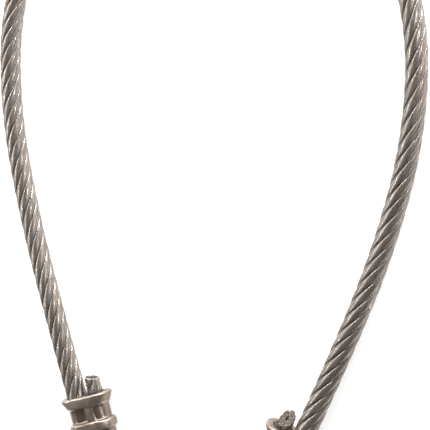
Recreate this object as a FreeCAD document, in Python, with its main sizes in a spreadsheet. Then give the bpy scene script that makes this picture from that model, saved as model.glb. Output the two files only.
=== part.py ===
"""Wire rope sling: one rope with a thimble eye pressed into each end, lying bent into a U.

Frame: +Z up from the surface that the sling lies on, +Y from the eyes towards the bow of the U, and the
origin on that surface under the middle of the whole sling. End A is on the -X side, end B on the +X side.

Each end is drawn in a frame of its own: its origin is the middle of the sleeve's mouth, +Y runs from the
eye towards the body of the sling, +X is to the right, and z = 0 is the plane of the rope's centre.
"""

import FreeCAD, Part

import math
import os
import sys

import Sketcher
from FreeCAD import Placement, Rotation, Vector

# --- driving dimensions, in millimetres and degrees ----------------------------------------------------

SIZES = {
    "rope_diameter": 12.0,
    "core_diameter": 4.0,  # the fibre core inside the six strands
    "pressed_rope_diameter": 11.2,  # the rope squeezed in a sleeve
    "leg_spacing": 12.0,  # between the two legs of rope in a sleeve
    "sleeve_length": 51.0,
    "flange_width": 33.0,
    "flange_height": 6.6,
    "flange_foot_width": 26.8,  # where the flange's taper ends
    "ridge_width": 29.2,
    "ridge_height": 5.4,
    "ridge_thickness": 18.0,
    "band_width": 25.2,
    "band_height": 9.0,
    "band_thickness": 14.4,
    "web_width": 5.0,  # the metal left between the two halves of the press
    "thimble_radius": 14.0,  # inside the thimble's crown
    "thimble_metal": 2.2,
    "thimble_flank": 24.0,
    "thimble_wrap": 78.0,  # how far the groove goes round the rope, each side of its middle
    "eye_centre": 46.0,  # from the sleeve's end to the centre of the thimble's crown
    "flank_angle": 25.0,
    "eye_neck_radius": 24.0,
    "dead_end_length": 8.6,
    "strand_end_diameter": 3.7,
    "strand_ring_diameter": 7.6,
    "sleeve_tilt": 20.3,  # how far each end leans in, away from the Y axis
    "sleeve_a_x": -60.4,
    "sleeve_a_y": -109.5,
    "sleeve_b_x": 68.5,
    "sleeve_b_y": -109.6,
}

# The body of the sling, from sleeve A's mouth over the bow to sleeve B's mouth. The mouths themselves and
# the points next to them lie on the sleeves' own lines, so the code works those four out.
BODY_ROUTE = [
    (-105.7, -5.1, 6.0),
    (-120.1, 53.1, 6.0),
    (-122.0, 110.9, 6.0),
    (-103.8, 167.9, 6.0),
    (-62.2, 210.5, 6.0),
    (-4.5, 226.5, 6.0),
    (53.8, 210.6, 6.0),
    (96.9, 170.1, 6.0),
    (119.5, 115.4, 6.0),
    (122.0, 57.1, 6.0),
    (111.2, -1.1, 6.0),
]
FIRST_RUN = 56.0
ARC_SHARE = 0.45  # of the shorter run at each point of the route

# From an end's origin down its axis to the rope's centre at the bottom of the crown.
CROWN_RADIUS = "sizes.thimble_radius + sizes.thimble_metal + sizes.rope_diameter / 2"
CROWN_DEPTH = f"sizes.sleeve_length + sizes.eye_centre + {CROWN_RADIUS}"

doc = FreeCAD.newDocument("wire_rope_sling")
sheet = doc.addObject("Spreadsheet::Sheet", "sizes")
for row_number, (alias, number) in enumerate(SIZES.items(), start=1):
    sheet.set(f"A{row_number}", alias)
    sheet.set(f"B{row_number}", str(number))
    sheet.setAlias(f"B{row_number}", alias)
doc.recompute()

ENDS = ("a", "b")
LIVE_SIDE = {"a": -1, "b": 1}  # the live leg is on the outside of the U
CENTRE_HEIGHT = SIZES["ridge_thickness"] / 2
sub_parts = []


def size(alias):
    return float(sheet.get(alias))


def bind(thing, **expressions):
    """Ties properties to expressions of the sheet's cells."""
    for name, expression in expressions.items():
        thing.setExpression(name.replace("__", "."), expression)


def keep(thing, label):
    thing.Label = label
    sub_parts.append(thing)
    return thing


def place_at_end(thing, end):
    """Moves a sub-part from its end's own frame to where that end lies."""
    lean = size("sleeve_tilt") if end == "a" else -size("sleeve_tilt")
    corner = Vector(size(f"sleeve_{end}_x"), size(f"sleeve_{end}_y"), CENTRE_HEIGHT)
    thing.Placement = Placement(corner, Rotation(Vector(0, 0, 1), lean)).multiply(thing.Placement)


# --- sketches ------------------------------------------------------------------------------------------


def new_body(name):
    return doc.addObject("PartDesign::Body", name)


def new_sketch(body, name, plane, lift=None):
    """A sketch on one of the body's own planes, lifted off it by an expression."""
    sketch = body.newObject("Sketcher::SketchObject", name)
    role = next(f for f in body.Origin.OriginFeatures if f.Role == plane)
    sketch.AttachmentSupport = [(role, "")]
    sketch.MapMode = "FlatFace"
    if lift:
        sketch.setExpression("AttachmentOffset.Base.z", lift)
    return sketch


def add_slot_outline(sketch, width_alias, thickness_alias):
    """A flat-sided oval, centred on the sketch's origin."""
    radius = size(thickness_alias) / 2
    half = size(width_alias) / 2 - radius
    normal = Vector(0, 0, 1)
    quarter = math.pi / 2
    right_circle = Part.Circle(Vector(half, 0, 0), normal, radius)
    left_circle = Part.Circle(Vector(-half, 0, 0), normal, radius)
    right = sketch.addGeometry(Part.ArcOfCircle(right_circle, -quarter, quarter), False)
    top = sketch.addGeometry(Part.LineSegment(Vector(half, radius, 0), Vector(-half, radius, 0)), False)
    left = sketch.addGeometry(Part.ArcOfCircle(left_circle, quarter, 3 * quarter), False)
    bottom = sketch.addGeometry(Part.LineSegment(Vector(-half, -radius, 0), Vector(half, -radius, 0)), False)
    for one, its_end, other, its_start in (
        (right, 2, top, 1),
        (top, 2, left, 1),
        (left, 2, bottom, 1),
        (bottom, 2, right, 1),
    ):
        sketch.addConstraint(Sketcher.Constraint("Tangent", one, its_end, other, its_start))
    sketch.addConstraint(Sketcher.Constraint("Equal", right, left))
    sketch.addConstraint(Sketcher.Constraint("Symmetric", right, 3, left, 3, -1, 1))
    sketch.addConstraint(Sketcher.Constraint("PointOnObject", right, 3, -1))
    round_end = sketch.addConstraint(Sketcher.Constraint("Radius", right, radius))
    sketch.setExpression(f"Constraints[{round_end}]", f"sizes.{thickness_alias} / 2")
    centres = sketch.addConstraint(Sketcher.Constraint("DistanceX", left, 3, right, 3, 2 * half))
    sketch.setExpression(f"Constraints[{centres}]", f"sizes.{width_alias} - sizes.{thickness_alias}")


def add_circle(sketch, x_expression, radius_expression, x, radius):
    circle = sketch.addGeometry(Part.Circle(Vector(x, 0, 0), Vector(0, 0, 1), radius), False)
    sketch.addConstraint(Sketcher.Constraint("PointOnObject", circle, 3, -1))
    radius_number = sketch.addConstraint(Sketcher.Constraint("Radius", circle, radius))
    sketch.setExpression(f"Constraints[{radius_number}]", radius_expression)
    across = sketch.addConstraint(Sketcher.Constraint("DistanceX", -1, 1, circle, 3, x))
    sketch.setExpression(f"Constraints[{across}]", x_expression)


def add_rectangle(sketch, width_alias, height_alias):
    half_w = size(width_alias) / 2
    half_h = size(height_alias) / 2
    corners = [(-half_w, -half_h), (half_w, -half_h), (half_w, half_h), (-half_w, half_h)]
    lines = []
    for number in range(4):
        one = Vector(*corners[number], 0)
        other = Vector(*corners[(number + 1) % 4], 0)
        lines.append(sketch.addGeometry(Part.LineSegment(one, other), False))
    for number in range(4):
        sketch.addConstraint(Sketcher.Constraint("Coincident", lines[number], 2, lines[(number + 1) % 4], 1))
    for line, kind in zip(lines, ("Horizontal", "Vertical", "Horizontal", "Vertical")):
        sketch.addConstraint(Sketcher.Constraint(kind, line))
    sketch.addConstraint(Sketcher.Constraint("Symmetric", lines[0], 1, lines[2], 1, -1, 1))
    width = sketch.addConstraint(Sketcher.Constraint("DistanceX", lines[0], 1, lines[0], 2, 2 * half_w))
    sketch.setExpression(f"Constraints[{width}]", f"sizes.{width_alias}")
    height = sketch.addConstraint(Sketcher.Constraint("DistanceY", lines[1], 1, lines[1], 2, 2 * half_h))
    sketch.setExpression(f"Constraints[{height}]", f"sizes.{height_alias}")


# --- the rope's body -----------------------------------------------------------------------------------


def end_point(end, along, across=0.0):
    """A point of an end's own frame, in the sling's frame."""
    lean = math.radians(size("sleeve_tilt") if end == "a" else -size("sleeve_tilt"))
    x = size(f"sleeve_{end}_x") + across * math.cos(lean) - along * math.sin(lean)
    y = size(f"sleeve_{end}_y") + across * math.sin(lean) + along * math.cos(lean)
    return Vector(x, y, CENTRE_HEIGHT)


def rounded_route(points, label):
    """One wire through the route: straight runs, with a tangent arc at each point. Prints the radii."""
    edges = []
    radii = []
    start = points[0]
    for before, corner, after in zip(points, points[1:], points[2:]):
        to_corner = (corner - before).normalize()
        from_corner = (after - corner).normalize()
        half_turn = to_corner.getAngle(from_corner) / 2
        cut_back = ARC_SHARE * min(before.distanceToPoint(corner), corner.distanceToPoint(after))
        arc_start = corner - to_corner * cut_back
        arc_end = corner + from_corner * cut_back
        radius = cut_back / math.tan(half_turn)
        inward = (from_corner - to_corner).normalize()
        middle = corner + inward * (radius / math.cos(half_turn) - radius)
        edges.append(Part.LineSegment(start, arc_start).toShape())
        edges.append(Part.Arc(arc_start, middle, arc_end).toShape())
        radii.append(round(radius))
        start = arc_end
    edges.append(Part.LineSegment(start, points[-1]).toShape())
    print(f"{label}: {len(points)} points, radii in mm {radii}")
    return Part.Wire(edges)


def swept_rod(name, path, start, direction, radius_expression):
    """A round rod along a path. Its section stands at the path's start."""
    ring = doc.addObject("Part::Circle", f"{name}_section")
    bind(ring, Radius=radius_expression)
    ring.Placement = Placement(start, Rotation(Vector(0, 0, 1), direction))
    rod = doc.addObject("Part::Sweep", name)
    rod.Sections = [ring]
    rod.Spine = (path, [f"Edge{number}" for number in range(1, len(path.Shape.Edges) + 1)])
    rod.Solid = True
    rod.Frenet = False
    return rod


def lay_rope(name, path, start, direction):
    """A length of rope: its strands, a rod with the core's way cut through it, and its core."""
    whole = swept_rod(f"{name}_outline", path, start, direction, "sizes.rope_diameter / 2")
    hollow = swept_rod(f"{name}_hollow", path, start, direction, "sizes.core_diameter / 2")
    strands = doc.addObject("Part::Cut", f"{name}_strands_cut")
    strands.Base = whole
    strands.Tool = hollow
    core = swept_rod(f"{name}_core_rod", path, start, direction, "sizes.core_diameter / 2")
    doc.recompute()
    length = path.Shape.Length
    expected = length * math.pi * (size("rope_diameter") / 2) ** 2
    print(f"{name}: length {length:.1f} mm, volume {whole.Shape.Volume / expected:.4f} of expected")
    return strands, core


def make_body_rope():
    half_spacing = size("leg_spacing") / 2
    route = [end_point("a", 0, -half_spacing), end_point("a", FIRST_RUN, -half_spacing)]
    route += [Vector(*point) for point in BODY_ROUTE]
    route += [end_point("b", FIRST_RUN, half_spacing), end_point("b", 0, half_spacing)]
    path = doc.addObject("Part::Feature", "body_rope_path")
    path.Shape = rounded_route(route, "body rope")
    strands, core = lay_rope("body_rope", path, route[0], (route[1] - route[0]).normalize())
    keep(strands, "body_rope_strands")
    keep(core, "body_rope_core")


# --- the eyes ------------------------------------------------------------------------------------------


class EyeShape:
    """Half of an eye's centreline, from the middle of the crown to the sleeve, in the end's own frame."""

    def __init__(self):
        self.radius = size("thimble_radius") + size("thimble_metal") + size("rope_diameter") / 2
        self.sleeve_end = -size("sleeve_length")
        self.centre = Vector(0, self.sleeve_end - size("eye_centre"), 0)
        self.angle = math.radians(size("flank_angle"))
        self.flank_start = self.centre + Vector(math.cos(self.angle), math.sin(self.angle), 0) * self.radius
        self.flank_direction = Vector(-math.sin(self.angle), math.cos(self.angle), 0)
        self.neck_radius = size("eye_neck_radius")
        self.leg_x = size("leg_spacing") / 2
        across_neck = self.neck_radius * (1 - math.cos(self.angle))
        self.flank = (self.flank_start.x - self.leg_x - across_neck) / math.sin(self.angle)
        self.flank_end = self.flank_start + self.flank_direction * self.flank
        neck_rise = self.neck_radius * math.sin(self.angle)
        self.neck_end = Vector(self.leg_x, self.flank_end.y + neck_rise, 0)
        self.neck_centre = self.neck_end + Vector(self.neck_radius, 0, 0)


def add_crown_arc(sketch, eye):
    """The crown's arc, from its lowest point round to where the flank starts."""
    circle = Part.Circle(eye.centre, Vector(0, 0, 1), eye.radius)
    crown = sketch.addGeometry(Part.ArcOfCircle(circle, -math.pi / 2, eye.angle), False)
    sketch.addConstraint(Sketcher.Constraint("PointOnObject", crown, 3, -2))
    sketch.addConstraint(Sketcher.Constraint("PointOnObject", crown, 1, -2))
    radius = sketch.addConstraint(Sketcher.Constraint("Radius", crown, eye.radius))
    sketch.setExpression(f"Constraints[{radius}]", CROWN_RADIUS)
    depth = sketch.addConstraint(Sketcher.Constraint("DistanceY", crown, 3, -1, 1, -eye.centre.y))
    sketch.setExpression(f"Constraints[{depth}]", "sizes.sleeve_length + sizes.eye_centre")
    return crown


def add_flank(sketch, crown, start, end):
    flank = sketch.addGeometry(Part.LineSegment(start, end), False)
    sketch.addConstraint(Sketcher.Constraint("Tangent", crown, 2, flank, 1))
    return flank


def thimble_half_path(body, name, eye):
    sketch = new_sketch(body, name, "XY_Plane")
    crown = add_crown_arc(sketch, eye)
    tip = eye.flank_start + eye.flank_direction * size("thimble_flank")
    flank = add_flank(sketch, crown, eye.flank_start, tip)
    length = sketch.addConstraint(Sketcher.Constraint("Distance", flank, size("thimble_flank")))
    sketch.setExpression(f"Constraints[{length}]", "sizes.thimble_flank")
    lean = sketch.addConstraint(Sketcher.Constraint("Angle", -2, 1, flank, 1, eye.angle))
    sketch.setExpression(f"Constraints[{lean}]", "sizes.flank_angle")
    return sketch


def sweep_half_and_mirror(body, name, path, profile):
    half = body.newObject("PartDesign::AdditivePipe", f"{name}_half")
    half.Profile = profile
    half.Spine = (path, [f"Edge{number}" for number in range(1, len(path.Shape.Edges) + 1)])
    doc.recompute()
    mirrored = body.newObject("PartDesign::Mirrored", f"{name}_whole")
    mirrored.Originals = [half]
    side_plane = next(f for f in body.Origin.OriginFeatures if f.Role == "YZ_Plane")
    mirrored.MirrorPlane = (side_plane, [""])
    body.Tip = mirrored
    doc.recompute()


def eye_wire(eye):
    """The rope's whole centreline in an eye, from the sleeve round the crown and back into the sleeve."""
    to_middle = Vector(-math.cos(eye.angle / 2), -math.sin(eye.angle / 2), 0)
    neck_middle = eye.neck_centre + to_middle * eye.neck_radius
    half = [Vector(eye.leg_x, eye.sleeve_end, 0), eye.neck_end, neck_middle, eye.flank_end, eye.flank_start]
    mouth_l, neck_end_l, neck_middle_l, flank_end_l, flank_start_l = [Vector(-p.x, p.y, 0) for p in half]
    mouth_r, neck_end_r, neck_middle_r, flank_end_r, flank_start_r = half
    crown_bottom = eye.centre - Vector(0, eye.radius, 0)
    edges = [
        Part.LineSegment(mouth_l, neck_end_l),
        Part.Arc(neck_end_l, neck_middle_l, flank_end_l),
        Part.LineSegment(flank_end_l, flank_start_l),
        Part.Arc(flank_start_l, crown_bottom, flank_start_r),
        Part.LineSegment(flank_start_r, flank_end_r),
        Part.Arc(flank_end_r, neck_middle_r, neck_end_r),
        Part.LineSegment(neck_end_r, mouth_r),
    ]
    return Part.Wire([edge.toShape() for edge in edges])


def make_eye_rope(end):
    eye = EyeShape()
    path = doc.addObject("Part::Feature", f"eye_path_{end}")
    path.Shape = eye_wire(eye)
    place_at_end(path, end)
    start = end_point(end, eye.sleeve_end, -eye.leg_x)
    strands, core = lay_rope(f"eye_rope_{end}", path, start, start - end_point(end, 0, -eye.leg_x))
    keep(strands, f"eye_rope_strands_{end}")
    keep(core, f"eye_rope_core_{end}")


def make_thimble(end):
    """A grooved strip bent round the eye. Its section wraps the rope's inner side."""
    eye = EyeShape()
    body = new_body(f"thimble_{end}_body")
    path = thimble_half_path(body, f"thimble_path_{end}", eye)
    profile = new_sketch(body, f"thimble_profile_{end}", "YZ_Plane")
    bind(profile, AttachmentOffset__Base__x=f"-({CROWN_DEPTH})")
    seat = size("rope_diameter") / 2
    back = seat + size("thimble_metal")
    wrap = math.radians(size("thimble_wrap"))
    up = Vector(0, 0, 1)
    inner = profile.addGeometry(Part.ArcOfCircle(Part.Circle(Vector(0, 0, 0), up, seat), -wrap, wrap), False)
    outer = profile.addGeometry(Part.ArcOfCircle(Part.Circle(Vector(0, 0, 0), up, back), -wrap, wrap), False)

    def at(radius, angle):
        return Vector(radius * math.cos(angle), radius * math.sin(angle), 0)

    low = profile.addGeometry(Part.LineSegment(at(seat, -wrap), at(back, -wrap)), False)
    high = profile.addGeometry(Part.LineSegment(at(seat, wrap), at(back, wrap)), False)
    for arc in (inner, outer):
        profile.addConstraint(Sketcher.Constraint("Coincident", arc, 3, -1, 1))
    for line, arc_end in ((low, 1), (high, 2)):
        profile.addConstraint(Sketcher.Constraint("Coincident", line, 1, inner, arc_end))
        profile.addConstraint(Sketcher.Constraint("Coincident", line, 2, outer, arc_end))
        profile.addConstraint(Sketcher.Constraint("PointOnObject", -1, 1, line))
    profile.addConstraint(Sketcher.Constraint("Vertical", low, 2, high, 2))
    for arc, expression, radius in (
        (inner, "sizes.rope_diameter / 2", seat),
        (outer, "sizes.rope_diameter / 2 + sizes.thimble_metal", back),
    ):
        number = profile.addConstraint(Sketcher.Constraint("Radius", arc, radius))
        profile.setExpression(f"Constraints[{number}]", expression)
    angle = profile.addConstraint(Sketcher.Constraint("Angle", outer, 2 * wrap))
    profile.setExpression(f"Constraints[{angle}]", "2 * sizes.thimble_wrap")
    doc.recompute()
    sweep_half_and_mirror(body, f"thimble_{end}", path, profile)
    place_at_end(body, end)
    return keep(body, f"thimble_{end}")


# --- the sleeves ---------------------------------------------------------------------------------------


def pad(body, name, sketch, length_expression):
    padded = body.newObject("PartDesign::Pad", name)
    padded.Profile = sketch
    bind(padded, Length=length_expression)
    return padded


def make_ferrule(end):
    """A flat oval sleeve: a flange at each end, and between them three pressed bands and two ridges.

    The XZ plane's sketches face -Y, so each pad runs from the mouth towards the eye.
    """
    body = new_body(f"ferrule_{end}_body")

    core = new_sketch(body, f"band_section_{end}", "XZ_Plane")
    add_slot_outline(core, "band_width", "band_thickness")
    pad(body, f"sleeve_{end}", core, "sizes.sleeve_length")

    # Each flange tapers from its rim down to its foot, over its own height.
    for side, rim, foot in (
        ("mouth", "0", "sizes.flange_height"),
        ("eye", "sizes.sleeve_length", "sizes.sleeve_length - sizes.flange_height"),
    ):
        rim_sketch = new_sketch(body, f"{side}_rim_{end}", "XZ_Plane", rim)
        add_slot_outline(rim_sketch, "flange_width", "ridge_thickness")
        foot_sketch = new_sketch(body, f"{side}_foot_{end}", "XZ_Plane", foot)
        add_slot_outline(foot_sketch, "flange_foot_width", "ridge_thickness")
        doc.recompute()
        flange = body.newObject("PartDesign::AdditiveLoft", f"{side}_flange_{end}")
        flange.Profile = rim_sketch
        flange.Sections = [foot_sketch]
        flange.Ruled = True
        doc.recompute()

    for number in (1, 2):
        lift = f"sizes.flange_height + {number} * sizes.band_height + {number - 1} * sizes.ridge_height"
        ridge_sketch = new_sketch(body, f"ridge_{number}_section_{end}", "XZ_Plane", lift)
        add_slot_outline(ridge_sketch, "ridge_width", "ridge_thickness")
        pad(body, f"ridge_{number}_{end}", ridge_sketch, "sizes.ridge_height")

    web_sketch = new_sketch(body, f"web_section_{end}", "XZ_Plane")
    add_rectangle(web_sketch, "web_width", "ridge_thickness")
    pad(body, f"web_{end}", web_sketch, "sizes.sleeve_length")
    doc.recompute()

    holes = new_sketch(body, f"rope_holes_{end}", "XZ_Plane")
    for sign in (-1, 1):
        across = sign * size("leg_spacing") / 2
        add_circle(
            holes,
            f"{sign} * sizes.leg_spacing / 2",
            "sizes.pressed_rope_diameter / 2",
            across,
            size("pressed_rope_diameter") / 2,
        )
    before = body.Tip.Shape.Volume
    pocket = body.newObject("PartDesign::Pocket", f"rope_way_{end}")
    pocket.Profile = holes
    pocket.Type = "Length"
    pocket.Reversed = True
    bind(pocket, Length="sizes.sleeve_length")
    doc.recompute()
    cut = before - pocket.Shape.Volume
    holes_volume = 2 * math.pi * (size("pressed_rope_diameter") / 2) ** 2 * size("sleeve_length")
    print(f"ferrule_{end}: the holes cut {cut / holes_volume:.4f} of their own volume")
    place_at_end(body, end)
    return keep(body, f"ferrule_{end}")


# --- rope inside and just past the sleeves -------------------------------------------------------------


def lay_along_sleeve(rod, across):
    """Turns an upright cylinder to run from the eye's end of the sleeve up to its mouth."""
    rod.Placement = Placement(Vector(across, -size("sleeve_length"), 0), Rotation(Vector(1, 0, 0), -90))


def make_pressed_leg(end, kind):
    side = LIVE_SIDE[end] if kind == "live" else -LIVE_SIDE[end]
    leg = doc.addObject("Part::Cylinder", f"{kind}_leg_{end}")
    bind(leg, Radius="sizes.pressed_rope_diameter / 2", Height="sizes.sleeve_length")
    lay_along_sleeve(leg, side * size("leg_spacing") / 2)
    place_at_end(leg, end)
    return keep(leg, f"{kind}_leg_in_ferrule_{end}")


def make_dead_end(end):
    """The cut end of the rope past the sleeve's mouth: six strand ends round a short piece of core."""
    across = -LIVE_SIDE[end] * size("leg_spacing") / 2
    ring_radius = size("strand_ring_diameter") / 2
    rods = []
    for number in range(6):
        angle = math.radians(60 * number)
        rod = doc.addObject("Part::Cylinder", f"strand_end_{number}_{end}")
        bind(rod, Radius="sizes.strand_end_diameter / 2", Height="sizes.dead_end_length")
        base = Vector(across + ring_radius * math.cos(angle), 0, ring_radius * math.sin(angle))
        rod.Placement = Placement(base, Rotation(Vector(1, 0, 0), -90))
        place_at_end(rod, end)
        rods.append(rod)
    group = doc.addObject("Part::Compound", f"strand_ends_{end}")
    group.Links = rods
    keep(group, f"dead_end_strands_{end}")
    core = doc.addObject("Part::Cylinder", f"core_end_{end}")
    bind(core, Radius="sizes.strand_ring_diameter / 2 - sizes.strand_end_diameter / 2 - 0.1")
    bind(core, Height="0.9 * sizes.dead_end_length")
    core.Placement = Placement(Vector(across, 0, 0), Rotation(Vector(1, 0, 0), -90))
    place_at_end(core, end)
    keep(core, f"dead_end_core_{end}")


# --- the whole sling -----------------------------------------------------------------------------------

make_body_rope()
for end in ENDS:
    make_ferrule(end)
    make_pressed_leg(end, "live")
    make_pressed_leg(end, "return")
    make_eye_rope(end)
    make_thimble(end)
    make_dead_end(end)
doc.recompute()

faults = [thing.Label for thing in doc.Objects if {"Invalid", "Error"} & set(thing.State)]
faults += [part.Label for part in sub_parts if part.Shape.isNull() or not part.Shape.isValid()]
if faults:
    sys.exit(f"these didn't build: {faults}")

os.makedirs("parts", exist_ok=True)
for part in sub_parts:
    part.Shape.exportStep(os.path.join("parts", f"{part.Label}.step"))
    box = part.Shape.BoundBox
    print(
        f"{part.Label}: {len(part.Shape.Solids)} solids, {part.Shape.Volume:.0f} mm3,"
        f" {box.XLength:.1f} x {box.YLength:.1f} x {box.ZLength:.1f} mm"
    )
whole_box = FreeCAD.BoundBox()
for part in sub_parts:
    whole_box.add(part.Shape.optimalBoundingBox(False))
low = ", ".join(f"{value:.2f}" for value in (whole_box.XMin, whole_box.YMin, whole_box.ZMin))
high = ", ".join(f"{value:.2f}" for value in (whole_box.XMax, whole_box.YMax, whole_box.ZMax))
print(f"whole: from ({low}) to ({high}) mm")
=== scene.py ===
"""The looks of the wire rope sling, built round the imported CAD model.

Lengths are in metres, in the model's own frame: +Z up from the floor, +Y from the eyes towards the bow of
the U, end A on the -X side and end B on the +X side. An end's own frame has its origin in the middle of the
sleeve's mouth, +Y from the eye towards the body of the sling, and the rope's centre plane at z = 0.
"""

import math
import random

import bpy
import numpy as np
from mathutils import Matrix, Vector, noise


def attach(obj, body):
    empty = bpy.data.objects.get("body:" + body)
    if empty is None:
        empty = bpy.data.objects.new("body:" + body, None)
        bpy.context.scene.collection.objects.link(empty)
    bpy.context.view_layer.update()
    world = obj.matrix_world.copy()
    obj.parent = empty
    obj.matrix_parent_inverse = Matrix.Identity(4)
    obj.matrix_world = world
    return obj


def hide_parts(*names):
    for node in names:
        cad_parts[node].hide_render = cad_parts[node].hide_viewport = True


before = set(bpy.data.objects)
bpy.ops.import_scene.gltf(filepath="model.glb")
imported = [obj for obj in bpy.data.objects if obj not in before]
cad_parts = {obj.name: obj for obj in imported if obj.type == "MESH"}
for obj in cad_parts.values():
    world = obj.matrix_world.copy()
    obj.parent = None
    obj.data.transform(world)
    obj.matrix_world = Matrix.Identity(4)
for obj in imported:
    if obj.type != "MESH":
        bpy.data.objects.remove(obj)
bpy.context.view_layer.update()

MM = 0.001
TAU = 2 * math.pi
RANDOM_SEED = 11

# --- sizes ---------------------------------------------------------------------------------------------

ROPE_DIAMETER = 12 * MM
STRAND_COUNT = 6
STRAND_RING = 4.1 * MM  # from the rope's centreline to the middle of a strand
STRAND_HALF_DEPTH = 1.9 * MM
STRAND_HALF_BREADTH = 2.75 * MM
STRAND_HALF_SHARE = math.radians(29.6)  # of the turn round the rope's centreline
OUTER_WIRES = 12  # in each strand
WIRE_RELIEF = 0.09  # of a round wire's own depth
ROPE_LAY = 57.5 * MM  # one turn of a strand round the rope, right-handed
WIRE_TURN = 21 * MM  # one turn of a wire round its strand, left-handed
CORE_RADIUS = 2.3 * MM
CORE_LOBES = 3
CORE_LOBE_DEPTH = 0.1  # of the core's radius
LEG_OFFSET = 6 * MM  # from the middle of a sleeve to each leg of rope

SLEEVE_TILT = math.radians(20.3)
SLEEVE_LENGTH = 51 * MM
MOUTHS = {"a": Vector((-60.4, -109.5, 9.0)) * MM, "b": Vector((68.5, -109.6, 9.0)) * MM}
LEANS = {"a": SLEEVE_TILT, "b": -SLEEVE_TILT}
LIVE_SIDE = {"a": -1, "b": 1}  # the live leg is on the outside of the U

FIRST_RUN = 56 * MM  # straight on from each sleeve's mouth
# The points that control the body's curve, in mm, from the first run at end A to the one at end B.
BODY_ROUTE = [
    (-105.7, -5.1, 6.0),
    (-120.1, 53.1, 6.0),
    (-122.0, 110.9, 6.0),
    (-103.8, 167.9, 6.0),
    (-62.2, 210.5, 6.0),
    (-4.5, 226.5, 6.0),
    (53.8, 210.6, 6.0),
    (96.9, 170.1, 6.0),
    (119.5, 115.4, 6.0),
    (122.0, 57.1, 6.0),
    (111.2, -1.1, 6.0),
]
# Half of an eye's route, in mm, in an end's own frame, from the sleeve down to the middle of the crown.
EYE_HALF_ROUTE = [(6.0, -51.0), (6.0, -57.3), (16.1, -79.1), (24.1, -96.2), (17.35, -113.75), (0.0, -121.1)]


def end_point(end, across, along, up=0.0):
    """A point of an end's own frame, in the model's frame."""
    turned = Matrix.Rotation(LEANS[end], 3, "Z") @ Vector((across, along, up))
    return MOUTHS[end] + turned


# --- camera --------------------------------------------------------------------------------------------

CAMERA_TARGET = Vector((13.7, 4.1, 6.0)) * MM
CAMERA_DISTANCE = 0.716
CAMERA_BACK = Vector((0.38624, 0.14226, 0.91136))
CAMERA_RIGHT = Vector((0.91613, 0.05583, -0.39698))
CAMERA_LENS = 108.84  # mm
CAMERA_SENSOR = 36  # mm


def make_camera():
    camera = bpy.data.objects.new("camera", bpy.data.cameras.new("camera"))
    bpy.context.scene.collection.objects.link(camera)
    camera.data.lens = CAMERA_LENS
    camera.data.sensor_width = CAMERA_SENSOR
    camera.data.clip_start = 0.01
    camera.data.clip_end = 20
    back = CAMERA_BACK.normalized()
    up = back.cross(CAMERA_RIGHT).normalized()
    right = up.cross(back)
    turn = Matrix((right, up, back)).transposed().to_4x4()
    camera.matrix_world = Matrix.Translation(CAMERA_TARGET + CAMERA_DISTANCE * back) @ turn
    bpy.context.scene.camera = camera


# --- the rope's centrelines ----------------------------------------------------------------------------

ROUTE_RESOLUTION = 40  # points read from the curve for each point of a route


def spline_points(points):
    """Closely spaced points read from the smooth curve that a route controls."""
    curve = bpy.data.curves.new("route", "CURVE")
    curve.dimensions = "3D"
    spline = curve.splines.new("NURBS")
    spline.points.add(len(points) - 1)
    for control, point in zip(spline.points, points):
        control.co = (*point, 1)
    spline.order_u = 3
    spline.use_endpoint_u = True
    spline.resolution_u = ROUTE_RESOLUTION
    holder = bpy.data.objects.new("route", curve)
    mesh = bpy.data.meshes.new_from_object(holder)
    found = np.array([vertex.co for vertex in mesh.vertices])
    bpy.data.objects.remove(holder)
    bpy.data.curves.remove(curve)
    bpy.data.meshes.remove(mesh)
    return found


def even_points(points, step):
    """The same line with points a step apart, and each point's distance along it."""
    gaps = np.linalg.norm(np.diff(points, axis=0), axis=1)
    along = np.concatenate([[0], np.cumsum(gaps)])
    count = int(round(along[-1] / step))
    wanted = np.linspace(0, along[-1], count + 1)
    line = np.stack([np.interp(wanted, along, points[:, axis]) for axis in range(3)], axis=1)
    return line, wanted


def cross_axes(line):
    """At each point of a line: the level direction across it, and the one square to that and to the line."""
    ahead = np.gradient(line, axis=0)
    ahead /= np.linalg.norm(ahead, axis=1)[:, None]
    across = np.cross(ahead, np.array([0.0, 0.0, 1.0]))
    across /= np.linalg.norm(across, axis=1)[:, None]
    return across, np.cross(across, ahead)


def body_route():
    mouth_a = end_point("a", -LEG_OFFSET, 0)
    after_a = end_point("a", -LEG_OFFSET, FIRST_RUN)
    before_b = end_point("b", LEG_OFFSET, FIRST_RUN)
    mouth_b = end_point("b", LEG_OFFSET, 0)
    return [mouth_a, after_a, *[Vector(point) * MM for point in BODY_ROUTE], before_b, mouth_b]


def eye_route(end):
    left = [(-across, along) for across, along in EYE_HALF_ROUTE[:-1]]
    whole = left + EYE_HALF_ROUTE[::-1]
    return [end_point(end, across * MM, along * MM) for across, along in whole]


# --- meshes --------------------------------------------------------------------------------------------


def new_piece(name, vertices, faces, attributes=None, smooth=True):
    """An object of its own, with named values at its points for its material to read."""
    mesh = bpy.data.meshes.new(name)
    mesh.from_pydata([tuple(v) for v in vertices], [], faces)
    mesh.update()
    for key, values in (attributes or {}).items():
        mesh.attributes.new(key, "FLOAT", "POINT").data.foreach_set("value", np.asarray(values, np.float32))
    if smooth:
        mesh.shade_smooth()
    else:
        mesh.shade_flat()
    piece = bpy.data.objects.new(name, mesh)
    bpy.context.scene.collection.objects.link(piece)
    return piece


def tube_faces(rings, around):
    """Quads between rings of a closed section, with an end face on the first and the last ring."""
    faces = []
    for ring in range(rings - 1):
        low = ring * around
        high = low + around
        for point in range(around):
            after = (point + 1) % around
            faces.append((low + point, low + after, high + after, high + point))
    last = (rings - 1) * around
    faces.append(tuple(range(around - 1, -1, -1)))
    faces.append(tuple(range(last, last + around)))
    return faces


def shifted(faces, low):
    """The same faces for a part whose points start at a higher number."""
    return [tuple(low + index for index in face) for face in faces]


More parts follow.
